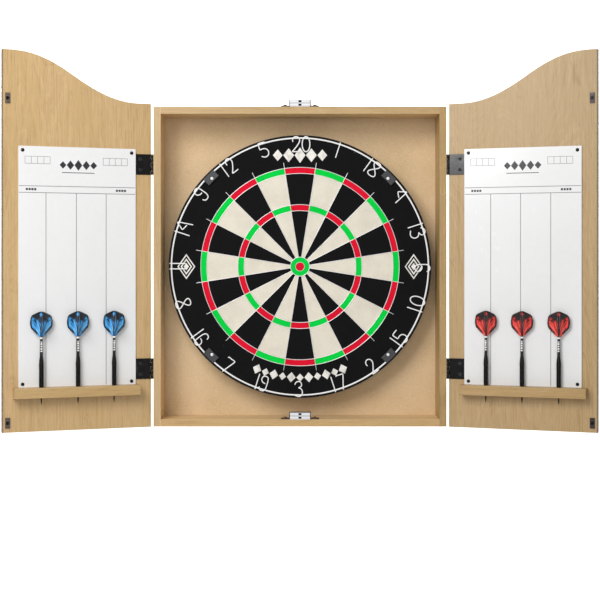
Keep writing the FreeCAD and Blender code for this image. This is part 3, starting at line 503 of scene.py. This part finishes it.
class Parts:
    """Collects closed pieces of mesh into one object."""

    def __init__(self):
        self.v, self.f, self.i, self.smooth = [], [], [], []

    def add(self, verts, faces, mat=0, smooth=False):
        n = len(self.v)
        self.v += [tuple(p) for p in verts]
        self.f += [tuple(i + n for i in f) for f in faces]
        self.i += [mat] * len(faces)
        self.smooth += [smooth] * len(faces)

    def tube(self, path, radius, closed=False, sides=10, mat=0, ends=True):
        """Round wire along a path, with rounded ends."""
        pts = [Vector(p) for p in path]
        n = len(pts)
        tangents = []
        for i in range(n):
            a = pts[(i - 1) % n] if closed or i else pts[0]
            b = pts[(i + 1) % n] if closed or i < n - 1 else pts[-1]
            tangents.append((b - a).normalized())
        up = Vector((0, 1, 0))
        rings = []

        def ring(c, t, r):
            side = t.cross(up)
            if side.length < 1e-6:
                side = t.cross(Vector((1, 0, 0)))
            side.normalize()
            other = side.cross(t).normalized()
            return [c + (side * math.cos(k) + other * math.sin(k)) * r for k in (2 * math.pi * j / sides for j in range(sides))]

        if not closed and ends:
            for q in (0.97, 0.75, 0.38):
                rings.append(ring(pts[0] - tangents[0] * radius * q, tangents[0], radius * math.sqrt(1 - q * q)))
        for c, t in zip(pts, tangents):
            rings.append(ring(c, t, radius))
        if not closed and ends:
            for q in (0.38, 0.75, 0.97):
                rings.append(ring(pts[-1] + tangents[-1] * radius * q, tangents[-1], radius * math.sqrt(1 - q * q)))
        verts = [p for r in rings for p in r]
        faces = []
        m = len(rings)
        for i in range(m if closed else m - 1):
            j = (i + 1) % m
            for k in range(sides):
                k2 = (k + 1) % sides
                faces.append((i * sides + k, i * sides + k2, j * sides + k2, j * sides + k))
        if not closed:
            faces.append(tuple(range(sides))[::-1])
            faces.append(tuple(range((m - 1) * sides, m * sides)))
        self.add(verts, faces, mat, True)

    def slab(self, outline, y0, y1, mat=0, place=None):
        """Flat shape: outline in (x, z), between y0 (front) and y1 (back)."""
        n = len(outline)
        verts = [Vector((x, y0, z)) for x, z in outline] + [Vector((x, y1, z)) for x, z in outline]
        area = sum(outline[i][0] * outline[(i + 1) % n][1] - outline[(i + 1) % n][0] * outline[i][1] for i in range(n))
        front = tuple(range(n)) if area > 0 else tuple(range(n))[::-1]
        faces = [front, tuple(i + n for i in front[::-1])]
        for a, b in zip(front, front[1:] + front[:1]):
            faces.append((b, a, a + n, b + n))
        if place:
            verts = [place @ v for v in verts]
        self.add(verts, faces, mat)

    def make(self, name, mats):
        ob = mesh_object(name, self.v, self.f, mats, self.i)
        ob.data.polygons.foreach_set("use_smooth", self.smooth)
        return ob


def circle(r, n, y, a0=0.0):
    return [(r * math.sin(a0 + 2 * math.pi * i / n), y, r * math.cos(a0 + 2 * math.pi * i / n)) for i in range(n)]


# ------------------------------------------------- dyed sisal playing surface
def make_bed():
    radii = [0.0, R_BULL_IN, R_BULL_OUT, R_TREBLE_IN, R_TREBLE_OUT, R_DOUBLE_IN, R_DOUBLE_OUT, CORE_R - 0.0006, CORE_R]
    steps = 360
    p = Parts()
    verts = [(0, FACE_Y, 0)]
    for k, r in enumerate(radii[1:]):
        y = FACE_Y + (0.0005 if k == len(radii) - 2 else 0)
        verts += circle(r, steps, y)
    verts += circle(CORE_R, steps, SISAL_BACK)
    n = len(radii) - 1
    faces, index = [], []
    for i in range(steps):
        j = (i + 1) % steps
        sector = int(((i + 0.5) + 9) // 18) % 20
        even = sector % 2 == 0                          # 20, 18, 13 ... black with red rings
        faces.append((0, 1 + i, 1 + j))
        index.append(2)
        for k in range(n - 1):
            a, b = 1 + k * steps, 1 + (k + 1) * steps
            faces.append((a + i, b + i, b + j, a + j))
            index.append([3, 0 if even else 1, 2 if even else 3, 0 if even else 1, 2 if even else 3, 0, 0][k])
        a, b = 1 + (n - 1) * steps, 1 + n * steps
        faces.append((a + i, b + i, b + j, a + j))
        index.append(0)
    faces.append(tuple(1 + n * steps + i for i in range(steps)))
    index.append(0)
    ob = mesh_object("sisal_playing_bed", verts, faces, ["black_sisal", "cream_sisal", "red_sisal", "green_sisal"], index)
    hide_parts("sisal_bed")
    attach(ob, "dartboard")
    return ob


bed = make_bed()


# --------------------------------------------------------------- wire spider
def make_spider():
    p = Parts()
    w = 0.00058
    y = FACE_Y - w * 0.62
    for r, rad in ((R_DOUBLE_OUT, w), (R_DOUBLE_IN, w), (R_TREBLE_OUT, w), (R_TREBLE_IN, w), (R_BULL_OUT, w * 1.05), (R_BULL_IN, w * 0.55)):
        p.tube(circle(r, max(72, int(r * 1500)), y), rad, closed=True, sides=10)
    for i in range(20):
        a = math.radians(9 + 18 * i)
        d = Vector((math.sin(a), 0, math.cos(a)))
        side = Vector((math.cos(a), 0, -math.sin(a)))
        path = [d * 0.0168, d * 0.05, d * 0.1, d * 0.15, d * 0.1785, d * 0.1806, d * 0.1815]
        drop = [0.0004, 0, 0, 0, 0, 0.0002, 0.0006]
        p.tube([(q.x, y + dy + 0.0001, q.z) for q, dy in zip(path, drop)], w * 0.92, sides=10)
    ob = p.make("spider_wires", ["spider_wire"])
    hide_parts("spider")
    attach(ob, "dartboard")
    return ob


spider = make_spider()


# -------------------------------------------------- number ring, bent from wire
def arc(cx, cz, r, a0, a1, rz=None, n=None):
    rz = rz or r
    n = n or max(5, int(abs(a1 - a0) / 9))
    return [(cx + r * math.cos(math.radians(a0 + (a1 - a0) * i / n)), cz + rz * math.sin(math.radians(a0 + (a1 - a0) * i / n))) for i in range(n + 1)]


def smooth(points, n=5):
    """Catmull-Rom through the points."""
    out = []
    p = [points[0]] + list(points) + [points[-1]]
    for i in range(1, len(p) - 2):
        for k in range(n):
            t = k / n
            q = []
            for c in (0, 1):
                a, b, d, e = p[i - 1][c], p[i][c], p[i + 1][c], p[i + 2][c]
                q.append(0.5 * (2 * b + (d - a) * t + (2 * a - 5 * b + 4 * d - e) * t * t + (3 * b - a - 3 * d + e) * t ** 3))
            out.append(tuple(q))
    out.append(tuple(points[-1]))
    return out


def corner(points, r=1.1):
    """Polyline with its corners bent to a small radius."""
    out = [points[0]]
    for a, b, c in zip(points, points[1:], points[2:]):
        va, vc = Vector(a) - Vector(b), Vector(c) - Vector(b)
        ra, rc = min(r, va.length / 2), min(r, vc.length / 2)
        s, e = Vector(b) + va.normalized() * ra, Vector(b) + vc.normalized() * rc
        for k in range(6):
            t = k / 5
            out.append(tuple(s * (1 - t) ** 2 + Vector(b) * 2 * t * (1 - t) + e * t * t))
    out.append(points[-1])
    return out


# strokes in millimetres, 12 wide and 25 high, each (closed, points)
GLYPHS = {
    "0": [(True, arc(0.5, 0.5, 0.5, 90, 441, 0.5, 44))],
    "1": [(False, [(0.5, 0), (0.5, 0.3), (0.5, 0.7), (0.5, 1)])],
    "2": [(False, arc(0.54, 0.75, 0.46, 196, -22, 0.25, 18) + smooth([(0.93, 0.60), (0.62, 0.36), (0.24, 0.12), (0.06, 0.03)])[1:] + [(0.12, 0.0), (0.5, 0.0), (1.0, 0.015)])],
    "3": [(False, smooth([(0.04, 0.80), (0.16, 0.93), (0.48, 1.0), (0.78, 0.93), (0.88, 0.78), (0.80, 0.66), (0.52, 0.57), (0.80, 0.51), (0.98, 0.35), (0.95, 0.16), (0.72, 0.02), (0.42, 0.0), (0.03, 0.08)], 5))],
    "4": [(False, smooth([(1.0, 0.0), (0.90, 0.45), (0.80, 0.90)], 4)[:-1] + smooth([(0.80, 0.92), (0.70, 1.0), (0.52, 0.92), (0.28, 0.75), (0.03, 0.59), (0.10, 0.52), (0.40, 0.44), (0.66, 0.38)], 5))],
    "5": [(False, smooth([(0.84, 0.97), (0.45, 0.985), (0.10, 0.97), (0.03, 0.90), (0.04, 0.74), (0.06, 0.58), (0.20, 0.56), (0.52, 0.57), (0.84, 0.49), (1.0, 0.32), (0.92, 0.12), (0.66, 0.01), (0.34, 0.01), (0.06, 0.10)], 5))],
    "7": [(False, smooth([(0.02, 0.95), (0.10, 1.0), (0.45, 0.985), (0.90, 0.985), (0.98, 0.93), (0.86, 0.70), (0.64, 0.35), (0.44, 0.0)], 5))],
    "8": [(True, [(0.5 + (0.47 if math.cos(t) > 0 else 0.53) * math.sin(2 * t) * -1, 0.52 + (0.48 if math.cos(t) > 0 else 0.52) * math.cos(t)) for t in (2 * math.pi * i / 64 for i in range(64))])],
    "9": [(False, smooth([(0.66, 0.52), (0.36, 0.55), (0.10, 0.66), (0.05, 0.82), (0.22, 0.96), (0.54, 1.0), (0.84, 0.93), (0.96, 0.76), (0.98, 0.50), (0.97, 0.24), (0.80, 0.05), (0.46, 0.0), (0.18, 0.05), (0.03, 0.19)], 5))],
}
GLYPHS["6"] = [(c, [(1 - x, 1 - z) for x, z in pts]) for c, pts in GLYPHS["9"]]
# (digit, from, to) along the ring, clockwise, for each number
BOXES = {
    20: (("2", -13.8, -0.6), ("0", 3.8, 17.1)), 1: (("1", 0.3, 0.3),), 18: (("1", -8.3, -8.3), ("8", -1.4, 11.9)),
    4: (("4", -4.8, 8.0),), 13: (("1", -5.7, -5.7), ("3", 0.4, 14.9)), 6: (("6", -3.8, 9.0),),
    10: (("0", -13.7, 1.2), ("1", 9.5, 9.5)), 15: (("5", -10.8, 2.5), ("1", 8.2, 8.2)), 2: (("2", -4.8, 8.0),),
    17: (("7", -13.0, -0.4), ("1", 8.4, 8.4)), 3: (("3", -4.4, 9.1),), 19: (("9", -9.0, 3.1), ("1", 8.8, 8.8)),
    7: (("7", -6.1, 7.9),), 16: (("6", -7.9, 3.9), ("1", 10.6, 10.6)), 8: (("8", -4.7, 7.9),),
    11: (("1", -4.0, -4.0), ("1", 5.4, 5.4)), 14: (("1", -8.4, -8.4), ("4", -2.0, 11.3)), 9: (("9", -5.6, 7.4),),
    12: (("1", -8.0, -8.0), ("2", -0.1, 12.0)), 5: (("5", -4.3, 9.7),),
}


def make_numbers():
    p = Parts()
    ring_r, wire, digit = 0.2220, 0.0014, 0.00102
    p.tube(circle(ring_r, 420, FACE_Y - wire), wire, closed=True, sides=14)
    y = FACE_Y - digit * 1.0
    r_in, r_out = 0.1985, 0.2245
    for i, n in enumerate(NUMBERS):
        low = n in BOTTOM_OUTWARD
        for c, x0, x1 in BOXES[n]:
            for closed, pts in GLYPHS[c]:
                path = []
                for px, pz in pts:
                    if low:
                        px, pz = 1 - px, 1 - pz
                    r = r_in + (r_out - r_in) * pz
                    lift = math.radians(18 * i)
                    side, rad = (x0 + (x1 - x0) * px) * MM, r
                    qx = side * math.cos(lift) + rad * math.sin(lift)
                    qz = -side * math.sin(lift) + rad * math.cos(lift)
                    # the strokes lie on the sisal and climb over the ring at its edge
                    over = max(0.0, min(1.0, (math.hypot(qx, qz) - 0.2186) / 0.0022))
                    path.append((qx, y - 0.0012 * over * over * (3 - 2 * over), qz))
                p.tube(path, digit, closed=closed, sides=10)
    ob = p.make("number_wires", ["ring_wire"])
    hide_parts("number_ring")
    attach(ob, "dartboard")
    return ob


numbers = make_numbers()


# ----------------------------------------- plain motifs printed on the sisal
def make_board_print():
    p = Parts()
    y0, y1 = FACE_Y - 0.00006, FACE_Y + 0.0001

    def lozenge(cx, cz, w, h):
        return [(cx - w / 2, cz), (cx, cz - h / 2), (cx + w / 2, cz), (cx, cz + h / 2)]

    def turned(shape, angle, radius, flip=1):
        a = math.radians(angle)
        res = []
        for x, z in shape:
            px, pz = x * flip, radius + z * flip
            res.append((px * math.cos(a) + pz * math.sin(a), -px * math.sin(a) + pz * math.cos(a)))
        return res

    # above the 20 wedge: a straight row of five solid lozenges
    for cx, w, h in ((-38.5, 17, 20), (-19.6, 19, 24), (0, 19, 27), (19.6, 19, 24), (38.5, 17, 20)):
        p.slab([(x, z + 0.1925) for x, z in lozenge(cx * MM, 0, w * MM, h * MM)], y0, y1)
    # below the 3: an arc of solid lozenges
    for k in range(11):
        ang = 180 + (k - 5) * 4.55
        w, h = (15.4, 17.6) if k % 2 == 0 else (12.6, 13.6)
        p.slab(turned(lozenge(0, 0, w * MM, h * MM), ang, 0.1918), y0, y1)
    # at each side: a tall lozenge in outline, a second one inside it, and a solid heart
    for sx in (-1, 1):
        c = 0.1965 * sx
        for wid, hgt, band in ((31, 44, 2.0), (20, 28.5, 2.2)):
            q = lozenge(c, 0, wid * MM, hgt * MM)
            inner = lozenge(c, 0, (wid - 2.5 * band) * MM, (hgt - 3.5 * band) * MM)
            for k in range(4):
                p.slab([q[k], q[(k + 1) % 4], inner[(k + 1) % 4], inner[k]], y0, y1)
        p.slab(lozenge(c, 0, 9 * MM, 13 * MM), y0, y1)
    ob = p.make("board_motifs", ["board_print"])
    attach(ob, "dartboard")
    return ob


board_print = make_board_print()


# --------------------------------------------- lines printed on the scoreboards
def make_score_print(side):
    m = door_matrix(side)
    w0, w1, z0, z1 = 28.4, 225.4, -199.9, 199.6
    face = INNER / MM + 2.5
    p = Parts()

    def at(u):
        """u mm from the panel's left edge as the viewer sees it, as distance from the pin."""
        return w1 - u if side == "left" else w0 + u

    def rect(u0, u1, a, b, mat, h=0.05):
        us = sorted((at(u0), at(u1)))
        lo_, hi_ = Vector((us[0], face - 0.03, a)) * MM, Vector((us[1], face + h, b)) * MM
        v = [Vector((x, y, z)) for x in (lo_.x, hi_.x) for y in (lo_.y, hi_.y) for z in (lo_.z, hi_.z)]
        f = [(0, 1, 3, 2), (4, 6, 7, 5), (0, 4, 5, 1), (2, 3, 7, 6), (0, 2, 6, 4), (1, 5, 7, 3)]
        if side == "left":
            f = [g[::-1] for g in f]
        p.add([m @ q for q in v], f, mat)

    def poly(shape, mat, h=0.06):
        pts = [(at(u), z) for u, z in shape]
        area = sum(pts[i][0] * pts[(i + 1) % len(pts)][1] - pts[(i + 1) % len(pts)][0] * pts[i][1] for i in range(len(pts)))
        if area < 0:
            pts = pts[::-1]
        n = len(pts)
        v = [Vector((x, face + h, z)) * MM for x, z in pts] + [Vector((x, face - 0.03, z)) * MM for x, z in pts]
        fr = tuple(range(n))
        f = [fr[::-1], tuple(i + n for i in fr)] + [(a, b, b + n, a + n) for a, b in zip(fr, fr[1:] + fr[:1])]
        if side == "left":
            f = [g[::-1] for g in f]
        p.add([m @ q for q in v], f, mat)

    L = 0.7
    # two groups of four score boxes
    for u0 in (10.8, 141.3):
        for k in range(5):
            rect(u0 + k * 10.35 - L / 2, u0 + k * 10.35 + L / 2, 170.8, 182.6, 0)
        for z in (170.8, 182.6):
            rect(u0 - L / 2, u0 + 41.4 + L / 2, z - L / 2, z + L / 2, 0)
    # rules under the header and the three column lines
    for z in (133.7, 122.7):
        rect(1.0, 196.0, z - 0.55, z + 0.55, 0)
    for u in (45.3, 95.9, 146.3):
        rect(u - 0.55, u + 0.55, z0 + 1.5, 122.7, 0)
    # header motif: a row of lozenges over a fine rule
    for c, w, h in ((73.5, 11.5, 12.5), (86.0, 12.5, 15.5), (99.3, 13, 18), (112.6, 12.5, 15.5), (125.1, 11.5, 12.5)):
        poly([(c - w / 2, 169.5), (c, 169.5 - h / 2), (c + w / 2, 169.5), (c, 169.5 + h / 2)], 1)
    rect(72, 126.5, 156.2, 157.4, 1)
    # name fields: plain short blocks
    for u in (12.0, 163.0):
        for k in range(4):
            rect(u + k * 4.6, u + k * 4.6 + 3.5, 126.4, 130.0, 2)
    ob = p.make(side + "_scoreboard_print", ["grey_print", "dark_print", "dark_print"])
    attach(ob, side + "_door")
    return ob


prints = [make_score_print(s) for s in ("left", "right")]


# ------------------------------------------------------------ flights and trim
def make_flight(side, i):
    """Moulded flight: three spread blades and one pressed flat against the scoreboard."""
    node = "%s_dart_%d_flight" % (side, i)
    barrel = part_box("%s_dart_%d_barrel" % (side, i))
    lo_, hi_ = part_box(node)
    axis = (barrel[0] + barrel[1]) / 2
    m = door_matrix(side)
    m[0][3], m[1][3], m[2][3] = axis.x, axis.y, lo_.z
    H = hi_.z - lo_.z
    F = 18.6
    half = smooth([(2.4, 0.0), (3.6, 0.5), (9.8, 6.8), (16.6, 13.8)], 5) + smooth([(17.6, 15.4), (18.4, 18.2), (18.6, 22.0), (18.55, 27.0), (18.2, 30.6), (17.0, 33.8), (14.8, 36.3)], 5) \
        + smooth([(14.0, 36.8), (8.0, 39.6), (3.0, 41.7), (0.9, H / MM)], 4)
    outline = [(0.0, 0.0)] + half + [(0.0, H / MM)]
    p = Parts()
    t = 0.13

    def blade(bend=None):
        """bend maps (r, normal offset, z) to local x, y, z."""
        rows = 14
        # rows across the blade, from the axis outwards, each cut to the outline's height there
        rs = [F * k / rows for k in range(rows + 1)]

        def span(r):
            zs = []
            for (r0, z0), (r1, z1) in zip(outline, outline[1:]):
                if (r0 - r) * (r1 - r) <= 0 and r0 != r1:
                    zs.append(z0 + (z1 - z0) * (r - r0) / (r1 - r0))
            if r <= 0.0:
                return 0.0, H / MM
            return (min(zs), max(zs)) if len(zs) > 1 else (22.0, 27.0)
        cols = 16
        front, back = [], []
        for r in rs:
            a, b = span(min(r, F - 0.02))
            for k in range(cols + 1):
                z = a + (b - a) * k / cols
                front.append(bend(r, t, z))
                back.append(bend(r, -t, z))
        n = len(front)
        faces = []
        w = cols + 1
        for a in range(rows):
            for b in range(cols):
                q = (a * w + b, (a + 1) * w + b, (a + 1) * w + b + 1, a * w + b + 1)
                faces.append(q)
                faces.append(tuple(k + n for k in q[::-1]))
        rim = [b for b in range(cols + 1)] + [a * w + cols for a in range(1, rows + 1)] + [rows * w + b for b in range(cols - 1, -1, -1)] + [a * w for a in range(rows - 1, 0, -1)]
        for a, b in zip(rim, rim[1:] + rim[:1]):
            faces.append((b, a, a + n, b + n))
        p.add([Vector(v) * MM for v in front + back], [f[::-1] for f in faces], 0, True)

    curl = 0.9
    blade(lambda r, s, z: (r, s + curl * (r / F) ** 2 * (z / 42), z))
    blade(lambda r, s, z: (-r, -s + curl * (r / F) ** 2 * (z / 42), z))
    blade(lambda r, s, z: (-s + 0.6 * (r / F) ** 2 * (z / 42), r, z))

    def folded(r, s, z):
        bend_r, start = 1.2, 3.6
        if r <= start:
            return (s, -r, z)
        length = math.pi / 2 * bend_r
        if r <= start + length:
            a = (r - start) / bend_r
            return (-bend_r + (bend_r + s) * math.cos(a), -start - (bend_r + s) * math.sin(a), z)
        return (-bend_r - (r - start - length), -start - bend_r - s, z)

    blade(folded)
    ob = p.make(node + "_film", ["flight_blue" if side == "left" else "flight_red"])
    if side == "right":
        pass
    ob.matrix_world = m
    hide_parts(node)
    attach(ob, "%s_dart_%d" % (side, i))
    return ob


def make_trim(side, i):
    """White collar under the flight and plain marks on the stem."""
    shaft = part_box("%s_dart_%d_shaft" % (side, i))
    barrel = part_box("%s_dart_%d_barrel" % (side, i))
    film_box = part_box("%s_dart_%d_flight" % (side, i))
    axis = (barrel[0] + barrel[1]) / 2
    m = door_matrix(side)
    m[0][3], m[1][3], m[2][3] = axis.x, axis.y, film_box[0].z
    p = Parts()

    def sleeve(r, r2, z0, z1, a0, a1, mat):
        n = max(6, int((a1 - a0) / 10))
        full = a1 - a0 >= 360
        verts, faces = [], []
        cnt = n if full else n + 1
        for k in range(cnt):
            a = math.radians(a0 + (a1 - a0) * k / n)
            for rr, z in ((r2, z0), (r2, z1), (r, z1), (r, z0)):
                verts.append(Vector((rr * math.cos(a), rr * math.sin(a), z)) * MM)
        for k in range(n):
            a, b = k * 4, ((k + 1) % cnt) * 4
            for q in range(4):
                q2 = (q + 1) % 4
                faces.append((a + q, b + q, b + q2, a + q2))
        if not full:
            faces.append((3, 2, 1, 0)[::-1])
            faces.append(tuple(n * 4 + q for q in (0, 1, 2, 3))[::-1])
        p.add(verts, faces, mat, False)

    sleeve(2.0, 2.72, -3.3, -0.55, 0, 360, 0)
    r0 = 2.2
    for z0, z1 in ((-9.0, -7.4), (-13.4, -10.0), (-16.8, -14.6), (-21.0, -18.2), (-24.6, -22.4)):
        r = 2.2 + 0.45 * (-z1 - 5) / 27.0
        sleeve(r - 0.15, r + 0.1, z0, z1, 52, 128, 0)
    ob = p.make("%s_dart_%d_trim" % (side, i), ["white_print"])
    ob.matrix_world = m
    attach(ob, "%s_dart_%d" % (side, i))
    return ob


for s in ("left", "right"):
    for i in (1, 2, 3):
        make_flight(s, i)
        make_trim(s, i)

# ----------------------------------------------------------- stage and lights
def plain_stage(name, value, rough):
    t = Tree(name)
    n = t.noise(t.coords, 3.0, 2.0, 0.5)
    t.colour(t.ramp(n, [(0.3, (value * 0.995,) * 3), (0.7, (value,) * 3)]))
    t.rough(t.remap(n, 0.3, 0.7, rough - 0.03, rough))
    t.set(Specular_IOR_Level=0.1)
    MATS[name] = t.mat
    return name


plain_stage("studio_paper", 0.92, 0.9)
# floor sweeping up into a backdrop
FLOOR_Z, WALL_Y, BEND = -1.15, 4.4, 1.2
profile = [(-5.0, FLOOR_Z), (WALL_Y - BEND, FLOOR_Z)]
profile += [(WALL_Y - BEND + BEND * math.sin(a), FLOOR_Z + BEND - BEND * math.cos(a)) for a in (math.radians(90 * k / 24) for k in range(1, 25))]
profile += [(WALL_Y, 5.0)]
verts = [(x, y, z) for y, z in profile for x in (-7.0, 7.0)]
faces = [(2 * k, 2 * k + 1, 2 * k + 3, 2 * k + 2) for k in range(len(profile) - 1)]
sweep = mesh_object("studio_sweep", verts, faces, ["studio_paper"], smooth=True)


def area_light(name, place, target, size, power, colour=(1, 1, 1), size_y=None):
    data = bpy.data.lights.new(name, "AREA")
    data.energy = power
    data.color = colour
    data.size = size
    if size_y:
        data.shape = "RECTANGLE"
        data.size_y = size_y
    ob = bpy.data.objects.new(name, data)
    ob.location = place
    ob.rotation_mode = "QUATERNION"
    ob.rotation_quaternion = (Vector(target) - Vector(place)).to_track_quat("-Z", "Y")
    ob.visible_camera = False
    bpy.context.scene.collection.objects.link(ob)
    return ob


area_light("key_upper", (-0.80, -1.65, 1.12), (-0.14, -0.1, 0.06), 1.2, 30.3, (1.0, 0.993, 0.982), size_y=0.9)
area_light("front_fill", (0.1, -3.4, 0.1), (0.0, -0.05, 0.0), 1.6, 13.8, (0.995, 0.997, 1.0))
area_light("left_accent", (-0.86, -1.75, 0.47), (0.26, -0.08, 0.17), 0.34, 5.0, size_y=0.30)
area_light("backdrop_wash", (0.0, 2.6, 1.6), (0.0, 4.4, -0.2), 4.6, 128, size_y=1.0)

world = bpy.data.worlds.new("studio")
world.use_nodes = True
bg = world.node_tree.nodes["Background"]
bg.inputs["Color"].default_value = (1.0, 1.0, 1.0, 1.0)
bg.inputs["Strength"].default_value = 0.30
bpy.context.scene.world = world

cam_data = bpy.data.cameras.new("camera")
cam_data.sensor_width = 36.0
cam_data.lens = 80.4
cam_data.shift_y = -0.0557
cam_data.clip_start = 0.1
cam_data.clip_end = 50.0
cam = bpy.data.objects.new("camera", cam_data)
cam.location = (0.0, -0.077 - 2.286, 0.0)
cam.rotation_euler = (math.radians(90), 0, 0)
bpy.context.scene.collection.objects.link(cam)
bpy.context.scene.camera = cam

sc = bpy.context.scene
sc.view_settings.view_transform = "Standard"
sc.view_settings.look = "None"
sc.view_settings.exposure = 0.0
sc.view_settings.gamma = 1.0
